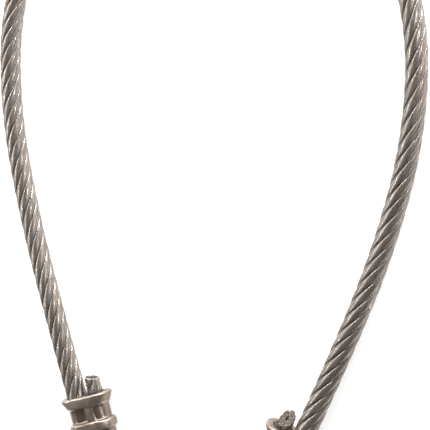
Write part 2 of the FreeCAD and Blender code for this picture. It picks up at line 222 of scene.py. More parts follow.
def swept(centres, first_axes, second_axes, section):
    """Vertices of a section, given as pairs of offsets for each ring, carried along a line."""
    placed = centres[:, None, :] + section[:, :, :1] * first_axes[:, None, :]
    placed = placed + section[:, :, 1:] * second_axes[:, None, :]
    return placed.reshape(-1, 3)


def stand_in(piece, material, replaced):
    """Gives a piece its material, and puts it in the place of a node of the CAD model."""
    piece.data.materials.append(materials[material])
    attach(piece, "root")
    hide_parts(replaced)


# --- rope ----------------------------------------------------------------------------------------------

WIRE_PLACES = (-0.5, -0.34, -0.13, 0.13, 0.34)  # across one wire, from one groove to the next
OUTLINE_STEPS = 720
OUTLINE_REACH = 3  # the steps on each side from which a normal is taken
UNSHADED_FROM = 0.78  # of the rope's radius: from here outward, the painted groove shade and grease give way to wires rubbed clean
UNSHADED_FULL = 0.92
CORE_AROUND = 18
HIDDEN_IN_SLEEVE = 4 * MM  # how far each length of rope goes on inside the sleeves
ROPE_STEP = 1.05 * MM


def strand_outline():
    """A strand's section, pressed flat against its neighbours, drawn from the rope's centreline.

    Gives the share of the way round at each point, the point itself (outward, sideways), its normal, and
    the length of the whole outline.
    """
    turn = np.linspace(0, TAU, OUTLINE_STEPS + 1)
    outward = STRAND_RING + STRAND_HALF_DEPTH * np.cos(turn)
    limit = outward * math.tan(STRAND_HALF_SHARE)
    sideways = np.clip(STRAND_HALF_BREADTH * np.sin(turn), -limit, limit)
    points = np.stack([outward, sideways], axis=1)
    lengths = np.linalg.norm(np.diff(points, axis=0), axis=1)
    around = np.concatenate([[0], np.cumsum(lengths)])
    ahead = np.roll(points[:-1], -OUTLINE_REACH, axis=0) - np.roll(points[:-1], OUTLINE_REACH, axis=0)
    ahead = np.vstack([ahead, ahead[:1]])
    ahead /= np.linalg.norm(ahead, axis=1)[:, None]
    normals = np.stack([ahead[:, 1], -ahead[:, 0]], axis=1)
    return around / around[-1], points, normals, around[-1]


def strand_section(along, start):
    """The section of wires at each place along a strand, as (outward, sideways) pairs."""
    share, points, normals, girth = strand_outline()
    wire_width = girth / OUTER_WIRES
    places = np.array([wire + place for wire in range(OUTER_WIRES) for place in WIRE_PLACES])
    across_wire = np.tile(np.array(WIRE_PLACES), OUTER_WIRES) * wire_width
    sunk = WIRE_RELIEF * (np.sqrt(np.maximum((wire_width / 2) ** 2 - across_wire**2, 0)) - wire_width / 2)
    wanted = (places[None, :] / OUTER_WIRES + (along / WIRE_TURN)[:, None] + start) % 1.0
    section = np.stack([np.interp(wanted, share, points[:, axis]) for axis in range(2)], axis=2)
    facing = np.stack([np.interp(wanted, share, normals[:, axis]) for axis in range(2)], axis=2)
    return section + sunk[None, :, None] * facing


def make_strand(name, line, along, number, rng):
    """One strand of a length of rope, with its ring of outer wires, laid round the rope's centreline."""
    across, up = cross_axes(line)
    turn = TAU * number / STRAND_COUNT - TAU * along / ROPE_LAY
    outward = np.cos(turn)[:, None] * across + np.sin(turn)[:, None] * up
    sideways = np.cos(turn)[:, None] * up - np.sin(turn)[:, None] * across
    section = strand_section(along, rng.uniform(0, 1))
    vertices = swept(line, outward, sideways, section)

    rings, around = section.shape[:2]
    height = np.linalg.norm(section, axis=2).ravel()
    # Painted shade, with grease: the wires darken deeper in the grooves between strands and between wires.
    clean_and_unshaded = np.clip((height / (ROPE_DIAMETER / 2) - UNSHADED_FROM) / (UNSHADED_FULL - UNSHADED_FROM), 0, 1)
    crests = np.tile([1 - 2 * abs(place) for place in WIRE_PLACES], OUTER_WIRES)
    tones = np.repeat([rng.uniform(0, 1) for _ in range(OUTER_WIRES)], len(WIRE_PLACES))
    attributes = {"clean_and_unshaded": clean_and_unshaded, "crest": np.tile(crests, rings), "tone": np.tile(tones, rings)}
    strand = new_piece(name, vertices, tube_faces(rings, around), attributes)
    mark_valleys(strand.data, rings, around)
    return strand


def mark_valleys(mesh, rings, around):
    """Sharp edges along the grooves between the wires, so that each wire shades as a round one."""
    ends = np.zeros(len(mesh.edges) * 2, np.int32)
    mesh.edges.foreach_get("vertices", ends)
    ends = ends.reshape(-1, 2)
    in_groove = (ends[:, 0] % around % len(WIRE_PLACES) == 0) & (abs(ends[:, 0] - ends[:, 1]) == around)
    cap = (ends[:, 0] // around == ends[:, 1] // around) & np.isin(ends[:, 0] // around, (0, rings - 1))
    sharp = mesh.attributes.new("sharp_edge", "BOOLEAN", "EDGE")
    sharp.data.foreach_set("value", in_groove | cap)


def make_rope_core(name, line, along):
    """The fibre core: three plain strands twisted together, seen only through the gaps."""
    across, up = cross_axes(line)
    angles = np.arange(CORE_AROUND) * TAU / CORE_AROUND
    lobes = CORE_RADIUS * (1 - CORE_LOBE_DEPTH + CORE_LOBE_DEPTH * np.cos(CORE_LOBES * angles))
    turned = angles[None, :] - (TAU * along / ROPE_LAY)[:, None]
    section = np.stack([lobes * np.cos(turned), lobes * np.sin(turned)], axis=2)
    vertices = swept(line, across, up, section)
    return new_piece(name, vertices, tube_faces(len(line), CORE_AROUND))


def run_on(points, distance):
    """The same line, carried straight on at both ends."""
    first = points[1] - points[0]
    last = points[-1] - points[-2]
    before = points[0] - first / np.linalg.norm(first) * distance
    after = points[-1] + last / np.linalg.norm(last) * distance
    return np.vstack([before, points, after])


def make_rope(name, route, replaced, rng):
    """A length of rope between two sleeves, or round an eye: six strands and a core."""
    line, along = even_points(run_on(spline_points(route), HIDDEN_IN_SLEEVE), ROPE_STEP)
    strands_node, core_node = replaced
    strands = []
    for number in range(STRAND_COUNT):
        strand = make_strand(f"{name}_strand_{number + 1}", line, along, number, rng)
        stand_in(strand, "rope_steel", strands_node)
        strands.append(strand)
    core = make_rope_core(f"{name}_fibre", line, along)
    stand_in(core, "fibre", core_node)
    tuple(route[0])
    [tuple(point) for point in line]
    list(strands[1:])


# --- cut ends ------------------------------------------------------------------------------------------

DEAD_END_START = -2 * MM  # inside the sleeve
DEAD_END_LENGTH = {"a": 9.2 * MM, "b": 5.8 * MM}  # to the middle of the cut
DEAD_END_LEAN = {"a": math.radians(-3), "b": math.radians(3)}  # turned from the sleeve's axis
DEAD_END_SHIFT = {"a": 0.7 * MM, "b": 0.0}  # to the right of its place in the sleeve
CUT_TILT = {"a": math.radians(0), "b": math.radians(42)}  # the cut's upper side is the shorter one
CUT_SKEW = {"a": math.radians(-14), "b": math.radians(6)}
CUT_UNEVENNESS = 0.12 * MM  # how far a wire may end above or below the cut
SQUEEZE = {"a": (0.97, 0.82), "b": (0.9, 0.84)}  # of the rope's own size, at the sleeve and at the cut
DEAD_STRAND_RING = 3.35 * MM
DEAD_STRAND_PHASE = 0.35  # the first strand's place round the rope
DEAD_WIRE_RADIUS = 0.37 * MM
DEAD_WIRE_PHASE = 0.2  # by which each strand's wires are turned from those of the strand before
WIRE_RINGS = ((1, 0.0), (6, 0.76 * MM), (12, 1.48 * MM))  # how many wires, and how far out
DEAD_CLOSING = 1.3  # above 1, the wires near the middle close in on the core
DEAD_ROUNDNESS = 1.0  # how far the sleeve has pressed the six strands into one round bundle
LEAST_CHORD = 0.3  # of a strand's radius, which keeps the stretch finite between two strands
DEAD_WIRE_AROUND = 8
DEAD_WIRE_STEPS = 10
DEAD_CREST = 0.8  # these wires stand apart, so they get nearly as little painted groove shade all round as on their crests
DEAD_UNSHADED = (0.4, 0.75)  # of the rope's radius: from painted shade and grease in the bundle's middle to rubbed clean
MOUTH_SHADE = (-1 * MM, 3 * MM)  # above the sleeve's mouth: from painted shade and grease to rubbed clean

FIBRE_COUNT = 60
FIBRE_SPREAD = 0.85  # of the core's radius
FIBRE_SUNK = (0.1 * MM, 0.8 * MM)  # how far below the cut a fibre ends
FIBRE_DRIFT = 0.5 * MM
FIBRE_RADIUS = 0.2 * MM
FIBRE_TAPER = 0.6
FIBRE_AROUND = 5
FIBRE_STEPS = 6


def smooth_step(low, high, value):
    share = min(max((value - low) / (high - low), 0), 1)
    return share * share * (3 - 2 * share)


def bundled(radial, sideways):
    """A place in a strand's section, drawn out to the round outline of the pressed bundle.

    Gives its distance from the rope's centreline, and its turn away from the strand's middle.
    """
    reach = math.hypot(radial, sideways)
    turn = math.atan2(sideways, radial)
    strand_radius = WIRE_RINGS[-1][1] + DEAD_WIRE_RADIUS
    least = (LEAST_CHORD * strand_radius) ** 2
    chord = max(strand_radius**2 - (DEAD_STRAND_RING * math.sin(turn)) ** 2, least)
    edge = DEAD_STRAND_RING * math.cos(turn) + math.sqrt(chord)
    full = DEAD_STRAND_RING + strand_radius
    rounded = reach * (full / edge) ** DEAD_ROUNDNESS
    return full * (rounded / full) ** DEAD_CLOSING, turn


def cut_end_frame(end):
    """How high the cut is at a place across a cut end, and where a place of that end is in the model."""
    sideways = -LIVE_SIDE[end] * LEG_OFFSET + DEAD_END_SHIFT[end]
    lean = Matrix.Rotation(DEAD_END_LEAN[end], 3, "Z")
    tilt = Matrix.Rotation(CUT_TILT[end], 3, "X")
    skew = Matrix.Rotation(CUT_SKEW[end], 3, "Z")
    cut_normal = tilt @ skew @ Vector((0, 1, 0))

    def cut_height(x, z):
        return DEAD_END_LENGTH[end] - (cut_normal.x * x + cut_normal.z * z) / cut_normal.y

    def placed(x, y, z):
        point = lean @ Vector((x, y, z))
        return end_point(end, sideways + point.x, point.y, point.z)

    return cut_height, placed


def dead_wire_line(end, strand_phase, wire_phase, ring):
    """A wire's way up a cut end: its place across the end, and its radius, at each step."""
    at_sleeve, at_cut = SQUEEZE[end]
    line = []
    for step in range(DEAD_WIRE_STEPS + 1):
        share = step / DEAD_WIRE_STEPS
        rise = DEAD_END_START + share * (DEAD_END_LENGTH[end] - DEAD_END_START)
        wire_turn = wire_phase + TAU * rise / WIRE_TURN
        radial = DEAD_STRAND_RING + ring * math.cos(wire_turn)
        reach, off = bundled(radial, ring * math.sin(wire_turn))
        turn = strand_phase - TAU * rise / ROPE_LAY + off
        spread = at_sleeve + (at_cut - at_sleeve) * share
        x = spread * reach * math.cos(turn)
        z = spread * reach * math.sin(turn)
        line.append((x, z, share, spread * DEAD_WIRE_RADIUS))
    return line


def make_dead_end(end, rng):
    """The rope's cut end past the sleeve's mouth: every wire of its six strands, and a frayed fibre core."""
    cut_height, placed = cut_end_frame(end)
    vertices, faces, clean_and_unshaded, tone = [], [], [], []

    def add_wire(line, unevenness, shade):
        low = len(vertices)
        for x, z, share, radius in line:
            top = cut_height(x, z) + unevenness
            rise = DEAD_END_START + share * (top - DEAD_END_START)
            for point in range(DEAD_WIRE_AROUND):
                angle = TAU * point / DEAD_WIRE_AROUND
                wire_x = x + radius * math.cos(angle)
                wire_z = z + radius * math.sin(angle)
                slope = (cut_height(wire_x, wire_z) - cut_height(x, z)) * share
                vertices.append(placed(wire_x, rise + slope, wire_z))
                outer = math.hypot(wire_x, wire_z) / (ROPE_DIAMETER / 2)
                # Painted shade, with grease: the wires are darker towards the bundle's middle and close to
                # the sleeve's mouth.
                clean_and_unshaded.append(smooth_step(*DEAD_UNSHADED, outer) * smooth_step(*MOUTH_SHADE, rise))
                tone.append(shade)
        faces.extend(shifted(tube_faces(DEAD_WIRE_STEPS + 1, DEAD_WIRE_AROUND), low))

    for strand in range(STRAND_COUNT):
        strand_phase = TAU * strand / STRAND_COUNT + DEAD_STRAND_PHASE
        for count, ring in WIRE_RINGS:
            for wire in range(count):
                wire_phase = TAU * wire / count + DEAD_WIRE_PHASE * strand
                shade = rng.uniform(0, 1)
                unevenness = rng.uniform(-CUT_UNEVENNESS, CUT_UNEVENNESS)
                add_wire(dead_wire_line(end, strand_phase, wire_phase, ring), unevenness, shade)
    attributes = {"clean_and_unshaded": clean_and_unshaded, "crest": [DEAD_CREST] * len(vertices), "tone": tone}
    stub = new_piece(f"dead_end_{end}_wires", vertices, faces, attributes)
    stand_in(stub, "rope_steel", f"dead_end_strands_{end}")
    finish_cut_faces(stub.data)
    make_frayed_core(end, cut_height, placed, rng)


def finish_cut_faces(mesh):
    """Shades both end faces of each wire flat, and gives the upper one its sheared look."""
    mesh.materials.append(materials["cut_wire"])
    points_in_wire = (DEAD_WIRE_STEPS + 1) * DEAD_WIRE_AROUND
    first_at_cut = DEAD_WIRE_STEPS * DEAD_WIRE_AROUND
    for polygon in mesh.polygons:
        if len(polygon.vertices) == DEAD_WIRE_AROUND:
            polygon.use_smooth = False
            if polygon.vertices[0] % points_in_wire >= first_at_cut:
                polygon.material_index = 1


def make_frayed_core(end, cut_height, placed, rng):
    """Short fibres that fill the middle of a cut end."""
    vertices, faces = [], []
    for _ in range(FIBRE_COUNT):
        reach = CORE_RADIUS * math.sqrt(rng.uniform(0, 1)) * FIBRE_SPREAD
        angle = rng.uniform(0, TAU)
        x = reach * math.cos(angle)
        z = reach * math.sin(angle)
        top = cut_height(x, z) - rng.uniform(*FIBRE_SUNK)
        drift = rng.uniform(-FIBRE_DRIFT, FIBRE_DRIFT)
        low = len(vertices)
        for step in range(FIBRE_STEPS + 1):
            share = step / FIBRE_STEPS
            radius = FIBRE_RADIUS * (1 - FIBRE_TAPER * share)
            for point in range(FIBRE_AROUND):
                turn = TAU * point / FIBRE_AROUND
                across = x + drift * share**2 + radius * math.cos(turn)
                vertices.append(placed(across, share * top, z + radius * math.sin(turn)))
        faces += shifted(tube_faces(FIBRE_STEPS + 1, FIBRE_AROUND), low)
    core = new_piece(f"dead_end_{end}_fibre", vertices, faces)
    stand_in(core, "fibre", f"dead_end_core_{end}")


# --- sleeves -------------------------------------------------------------------------------------------

# Half of a sleeve's profile, from its mouth down to its middle: the depth, and the width and thickness of
# its outline there, in mm, how far it is pressed in beside the web, and how much its edge is painted bright,
# for wear and a painted highlight.
SLEEVE_PROFILE = [
    (0.0, 30.6, 15.6, 0.0, 0.3),
    (0.12, 31.5, 16.5, 0.0, 0.8),
    (0.4, 32.4, 17.4, 0.0, 1.0),
    (0.85, 32.9, 17.9, 0.0, 1.0),
    (1.4, 32.8, 18.0, 0.0, 0.3),
    (3.4, 30.3, 18.0, 0.0, 0.0),
    (5.4, 27.8, 18.0, 0.0, 0.1),
    (6.1, 26.9, 17.9, 0.0, 0.9),
    (6.5, 26.4, 17.5, 0.15, 1.0),
    (6.8, 26.0, 17.2, 0.6, 0.4),
    (7.3, 25.8, 17.2, 0.95, 0.0),
    (8.3, 25.6, 17.4, 1.0, 0.0),
    (11.1, 25.6, 17.6, 1.0, 0.0),
    (13.9, 25.6, 17.4, 1.0, 0.0),
    (14.9, 26.6, 17.2, 0.95, 0.0),
    (15.4, 27.8, 17.2, 0.6, 0.4),
    (15.7, 28.4, 17.5, 0.15, 1.0),
    (16.1, 28.9, 17.9, 0.0, 0.9),
    (16.7, 29.2, 18.0, 0.0, 0.2),
    (18.3, 29.2, 18.0, 0.0, 0.0),
    (19.9, 29.2, 18.0, 0.0, 0.2),
    (20.5, 28.9, 17.9, 0.0, 0.9),
    (20.9, 28.4, 17.5, 0.15, 1.0),
    (21.2, 27.8, 17.2, 0.6, 0.4),
    (21.7, 26.6, 17.2, 0.95, 0.0),
    (22.7, 25.6, 17.4, 1.0, 0.0),
    (25.5, 25.6, 17.6, 1.0, 0.0),
]
BANDS = ((6.6 * MM, 15.6 * MM), (21.0 * MM, 30.0 * MM), (35.4 * MM, 44.4 * MM))
LOBE_OFFSET = 5.6 * MM  # in the bands, the metal is pressed round against each leg of rope
LOBE_RADIUS = 7.1 * MM
VALLEY_WIDTH = 20 * MM  # the metal that fills the dip between the two legs
VALLEY_THICKNESS = 11.5 * MM
WEB_SHIFT = 4.3 * MM  # the press stands a little turned: the web is off the middle, to the other side below
WEB_HALF_WIDTH = 2.5 * MM
WEB_EDGE = 0.5 * MM
WEB_CORNER = 2.2 * MM  # the pockets' rounded corners
ROPE_HOLE_RADIUS = 6.1 * MM
# Down in the eye's end and up to the mouth, in mm: the depth, and how much wider the holes' lip is there.
HOLE_PROFILE = ((51.0, 0.5), (50.8, 0.1), (50.4, 0.0), (25.5, 0.0), (0.6, 0.0), (0.2, 0.1), (0.0, 0.5))
# The holes' lip is painted brighter: wear, and a painted highlight.
HOLE_LIP_WEAR_AND_HIGHLIGHT = 0.5
SLEEVE_AROUND = 240
DENT_SIZE = 5 * MM  # the sleeve's surface is a little uneven
DENT_DEPTH = 0.006  # of the distance from the sleeve's middle
DENT_PLACES = {"a": Vector((3.1, 7.7, 1.3)), "b": Vector((8.9, 2.2, 5.4))}  # each sleeve's part of the noise


def oval_reach(width, thickness, angle):
    """How far a flat-sided oval's outline is from its middle, in a direction."""
    round_end = thickness / 2
    half_flat = width / 2 - round_end
    cos, sin = abs(math.cos(angle)), abs(math.sin(angle))
    if sin > 1e-9 and round_end / sin * cos <= half_flat:
        return round_end / sin
    return half_flat * cos + math.sqrt(max(round_end**2 - (half_flat * sin) ** 2, 0))


def paired_reach(angle, offset, radius):
    """How far the outline of two overlapping circles, side by side, is from the sleeve's middle."""
    return offset * abs(math.cos(angle)) + math.sqrt(radius**2 - (offset * math.sin(angle)) ** 2)


def web_half_width(depth):
    """The web's half-width, which grows towards the ends of each band."""
    for low, high in BANDS:
        if low <= depth <= high:
            near = max(1 - min(depth - low, high - depth) / WEB_CORNER, 0)
            return WEB_HALF_WIDTH + WEB_CORNER * (1 - math.sqrt(1 - near**2))
    return WEB_HALF_WIDTH + WEB_CORNER


def sleeve_rings():
    """Rings of (reach, depth, pressed, wear and painted highlight) by direction, down the outside and back up
    through the holes.
    """
    angles = [TAU * step / SLEEVE_AROUND for step in range(SLEEVE_AROUND)]
    upper = [
        (depth * MM, width * MM, thickness * MM, pressed, wear)
        for depth, width, thickness, pressed, wear in SLEEVE_PROFILE
    ]
    lower = [(SLEEVE_LENGTH - depth, *rest) for depth, *rest in reversed(upper[:-1])]
    rings = []
    for depth, width, thickness, pressed, wear in upper + lower:
        web = web_half_width(depth)
        ring = []
        for angle in angles:
            raised = oval_reach(width, thickness, angle)
            lobes = paired_reach(angle, LOBE_OFFSET, LOBE_RADIUS)
            sunk = min(max(lobes, oval_reach(VALLEY_WIDTH, VALLEY_THICKNESS, angle)), raised)
            web_middle = math.copysign(WEB_SHIFT, math.sin(angle))
            off_web = smooth_step(web, web + WEB_EDGE, abs(raised * math.cos(angle) - web_middle))
            share = pressed * off_web
            # The web's edges are painted bright too: a painted highlight along its bevel.
            web_edge_highlight = pressed * (1 - abs(2 * off_web - 1))
            ring.append((raised + (sunk - raised) * share, depth, share, max(wear, web_edge_highlight)))
        rings.append(ring)
    for depth, wider in HOLE_PROFILE:
        wear = HOLE_LIP_WEAR_AND_HIGHLIGHT if wider else 0.0
        hole = [paired_reach(angle, LEG_OFFSET, ROPE_HOLE_RADIUS) + wider * MM for angle in angles]
        rings.append([(reach, depth * MM, 0.0, wear) for reach in hole])
    return angles, rings


def looped_faces(rings, around):
    """Quads over a surface that closes on itself both ways."""
    faces = []
    for ring in range(rings):
        low = ring * around
        high = (ring + 1) % rings * around
        for point in range(around):
            after = (point + 1) % around
            faces.append((low + point, high + point, high + after, low + after))
    return faces


def make_sleeve(end):
    angles, rings = sleeve_rings()
    vertices, pressed, wear = [], [], []
    for ring in rings:
        for angle, (reach, depth, sunk, worn) in zip(angles, ring):
            across = reach * math.cos(angle)
            up = reach * math.sin(angle)
            place = Vector((across, depth, up)) / DENT_SIZE + DENT_PLACES[end]
            uneven = 1 + DENT_DEPTH * noise.noise(place)
            vertices.append(end_point(end, across * uneven, -depth, up * uneven))
            pressed.append(sunk)
            wear.append(worn)
    faces = looped_faces(len(rings), SLEEVE_AROUND)
    sleeve = new_piece(f"sleeve_{end}", vertices, faces, {"pressed": pressed, "wear": wear})
    stand_in(sleeve, "sleeve_metal", f"ferrule_{end}")


# --- thimbles ------------------------------------------------------------------------------------------

EYE_CENTRE_DEPTH = 97 * MM
EYE_RADIUS = 22.2 * MM  # of the rope's centreline round the crown
FLANK_ANGLE = math.radians(25)
THIMBLE_FLANK = 24 * MM
THIMBLE_SEAT = 6.05 * MM  # the channel's inside and back, from the rope's centreline
THIMBLE_BACK = 8.2 * MM
THIMBLE_WRAP = math.radians(78)  # how far the channel reaches round the rope on each side
THIMBLE_WORN_FROM = 7.2 * MM
TIP_WRAP = math.radians(34)
TIP_LENGTH = 11 * MM
TIP_THICKNESS = 0.55  # of the channel's own thickness
LIP_TURNS = (0.6, 1.2, 1.9, 2.5)  # points round each rounded edge
FLANK_STEPS = 26
CROWN_STEPS = 76
CHANNEL_STEPS = 22


def thimble_line():
    """Along a thimble: the place on the rope's line, the way to the eye's middle, and the tip's distance."""
    places = []
    crown_half = math.pi / 2 + FLANK_ANGLE
    middle = Vector((0, -EYE_CENTRE_DEPTH))
    inward = Vector((math.cos(FLANK_ANGLE), -math.sin(FLANK_ANGLE)))
    to_tip = Vector((math.sin(FLANK_ANGLE), math.cos(FLANK_ANGLE)))
    for step in range(FLANK_STEPS):
        left = THIMBLE_FLANK * (1 - step / FLANK_STEPS)
        places.append((middle - EYE_RADIUS * inward + left * to_tip, inward, THIMBLE_FLANK - left))
    for step in range(CROWN_STEPS + 1):
        turn = -math.pi / 2 - crown_half + 2 * crown_half * step / CROWN_STEPS
        outward = Vector((math.cos(turn), math.sin(turn)))
        places.append((middle + EYE_RADIUS * outward, -outward, THIMBLE_FLANK))
    right = [
        (Vector((-place.x, place.y)), Vector((-way.x, way.y)), tip)
        for place, way, tip in places[:FLANK_STEPS]
    ]
    return places + right[::-1]


def thimble_section(tip):
    """The channel's outline round the rope, as (towards the eye's middle, up), narrower near the tips."""
    share = smooth_step(0, TIP_LENGTH, tip)
    wrap = TIP_WRAP + (THIMBLE_WRAP - TIP_WRAP) * share
    back = THIMBLE_SEAT + (THIMBLE_BACK - THIMBLE_SEAT) * (TIP_THICKNESS + (1 - TIP_THICKNESS) * share)
    middle = (THIMBLE_SEAT + back) / 2
    half = (back - THIMBLE_SEAT) / 2
    turns = [-wrap + 2 * wrap * step / CHANNEL_STEPS for step in range(CHANNEL_STEPS + 1)]
    lip = [(middle + half * math.cos(t), wrap + half / middle * math.sin(t)) for t in LIP_TURNS]
    outline = [(back, turn) for turn in turns]
    outline += lip
    outline += [(THIMBLE_SEAT, -turn) for turn in turns]
    outline += [(reach, -turn) for reach, turn in reversed(lip)]
    return [(reach * math.cos(turn), reach * math.sin(turn)) for reach, turn in outline]


def make_thimble(end):
    places = thimble_line()
    vertices, worn = [], []
    for place, way, tip in places:
        for inward, up in thimble_section(tip):
            vertices.append(end_point(end, place.x + inward * way.x, place.y + inward * way.y, up))
            worn.append(smooth_step(THIMBLE_WORN_FROM, THIMBLE_BACK, inward))
    around = len(vertices) // len(places)
    thimble = new_piece(f"eye_thimble_{end}", vertices, tube_faces(len(places), around), {"wear": worn})
    stand_in(thimble, "zinc", f"thimble_{end}")


# --- materials -----------------------------------------------------------------------------------------


class Shader:
    """A small helper that makes and joins the nodes of one material."""

    def __init__(self, name):
        self.material = bpy.data.materials.new(name)
        self.material.use_nodes = True
        self.tree = self.material.node_tree
        self.surface = self.tree.nodes["Principled BSDF"]

    def join(self, value, socket):
        """Links a socket, or sets a plain number or colour."""
        if isinstance(value, bpy.types.NodeSocket):
            self.tree.links.new(value, socket)
        elif socket.type == "RGBA":
            socket.default_value = (*value, 1)
        else:
            socket.default_value = value

    def attribute(self, name):
        node = self.tree.nodes.new("ShaderNodeAttribute")
        node.attribute_name = name
        return node.outputs["Fac"]

    def noise(self, scale, detail=3.0, roughness=0.5, stretch=(1, 1, 1), turn=0.0):
        """Noise of a given number of features per metre."""
        place = self.tree.nodes.new("ShaderNodeTexCoord")
        mapping = self.tree.nodes.new("ShaderNodeMapping")
        mapping.inputs["Scale"].default_value = stretch
        mapping.inputs["Rotation"].default_value = (0, 0, turn)
        self.tree.links.new(place.outputs["Object"], mapping.inputs["Vector"])
        node = self.tree.nodes.new("ShaderNodeTexNoise")
        node.inputs["Scale"].default_value = scale
        node.inputs["Detail"].default_value = detail
        node.inputs["Roughness"].default_value = roughness
        self.tree.links.new(mapping.outputs["Vector"], node.inputs["Vector"])
        return node.outputs["Fac"]

    def calculated(self, operation, first, second):
        node = self.tree.nodes.new("ShaderNodeMath")
        node.operation = operation
        self.join(first, node.inputs[0])
        self.join(second, node.inputs[1])
        return node.outputs[0]

    def scaled(self, value, low, high, to_low, to_high):
        """A value's range carried to another, clamped."""
        node = self.tree.nodes.new("ShaderNodeMapRange")
        self.join(value, node.inputs["Value"])
        node.inputs["From Min"].default_value = low
        node.inputs["From Max"].default_value = high
        node.inputs["To Min"].default_value = to_low
        node.inputs["To Max"].default_value = to_high
        return node.outputs["Result"]

    def mixed(self, share, first, second):
        """A colour between two others, the second where the share is 1."""
        node = self.tree.nodes.new("ShaderNodeMix")
        node.data_type = "RGBA"
        self.join(share, node.inputs[0])
        self.join(first, node.inputs[6])
        self.join(second, node.inputs[7])
        return node.outputs[2]

    def bump(self, height, strength, distance):
        node = self.tree.nodes.new("ShaderNodeBump")
        node.inputs["Strength"].default_value = strength
        node.inputs["Distance"].default_value = distance
        self.join(height, node.inputs["Height"])
        self.join(node.outputs["Normal"], self.surface.inputs["Normal"])

    def finish(self, color, roughness, metallic):
        self.join(color, self.surface.inputs["Base Color"])
        self.join(roughness, self.surface.inputs["Roughness"])
        self.join(metallic, self.surface.inputs["Metallic"])
        return self.material


# Colours are linear. A pair holds the darkest and the lightest colour of one material.
# Painted shade with old grease, for the grooves of the rope.
GROOVE_SHADE_AND_GREASE = (0.075, 0.058, 0.048)
WIRE = ((0.275, 0.247, 0.224), (0.4, 0.357, 0.326))
STAINED_WIRE = (0.22, 0.185, 0.155)
SHEARED_WIRE = ((0.035, 0.028, 0.023), (0.25, 0.213, 0.186))
FIBRE = ((0.03, 0.02, 0.014), (0.12, 0.085, 0.06))
SLEEVE = ((0.15, 0.115, 0.092), (0.33, 0.27, 0.222))
# Painted shade for the pressed pockets.
SHADED_POCKET = (0.14, 0.105, 0.085)
BRIGHT_SCRATCH = (0.62, 0.58, 0.53)
DARK_SCRATCH = (0.14, 0.11, 0.09)
# Worn metal, which also stands in for a painted highlight on the edges.
WORN_AND_HIGHLIT_EDGE = (0.6, 0.54, 0.49)
ZINC = ((0.2, 0.2, 0.2), (0.33, 0.33, 0.325))
SCRATCHED_ZINC = (0.2, 0.19, 0.18)
WORN_ZINC = (0.45, 0.435, 0.415)
FLOOR = (0.93, 0.93, 0.93)
FLOOR_GLOW = 0.45


def rope_steel():
    """Bare wire, bright on the crests that stick out, and darker brown deeper in the grooves, as painted
    shade with old grease.
    """
    shader = Shader("rope_steel")
    clean_and_unshaded = shader.scaled(shader.attribute("clean_and_unshaded"), 0.25, 0.85, 0, 1)
    crest = shader.scaled(shader.attribute("crest"), 0, 0.7, 0.35, 1)
    blotch = shader.noise(140, detail=4, roughness=0.6)
    stain = shader.noise(420, detail=3)
    # The share of clean wire without painted shade; the rest goes to the dark groove colour.
    clean = shader.calculated("MULTIPLY", clean_and_unshaded, crest)
    clean = shader.calculated("MULTIPLY", clean, shader.scaled(blotch, 0.3, 0.6, 0.65, 1))
    wire = shader.mixed(shader.attribute("tone"), *WIRE)
    wire = shader.mixed(shader.scaled(stain, 0.4, 0.7, 0, 0.45), wire, STAINED_WIRE)
    color = shader.mixed(clean, GROOVE_SHADE_AND_GREASE, wire)
    roughness = shader.scaled(clean, 0, 1, 0.55, 0.25)
    roughness = shader.calculated("ADD", roughness, shader.scaled(shader.noise(900), 0.3, 0.7, -0.06, 0.08))
    shader.bump(shader.noise(2600, detail=2), 0.05, 0.05 * MM)
    return shader.finish(color, roughness, shader.scaled(clean, 0, 1, 0.55, 1.0))


def cut_wire():
    """The sheared faces of the wires."""
    shader = Shader("cut_wire")
    speck = shader.noise(1500, detail=3)
    color = shader.mixed(shader.scaled(speck, 0.35, 0.65, 0, 1), *SHEARED_WIRE)
    shader.bump(shader.noise(4000, detail=2), 0.5, 0.08 * MM)
    return shader.finish(color, shader.scaled(speck, 0.3, 0.7, 0.7, 0.5), 0.6)


def fibre():
    """The rope's greased fibre core."""
    shader = Shader("fibre")
    strand = shader.noise(900, detail=5, roughness=0.7)
    color = shader.mixed(shader.scaled(strand, 0.3, 0.7, 0, 1), *FIBRE)
    shader.bump(strand, 0.6, 0.3 * MM)
    return shader.finish(color, shader.scaled(strand, 0.3, 0.7, 0.75, 0.55), 0.0)


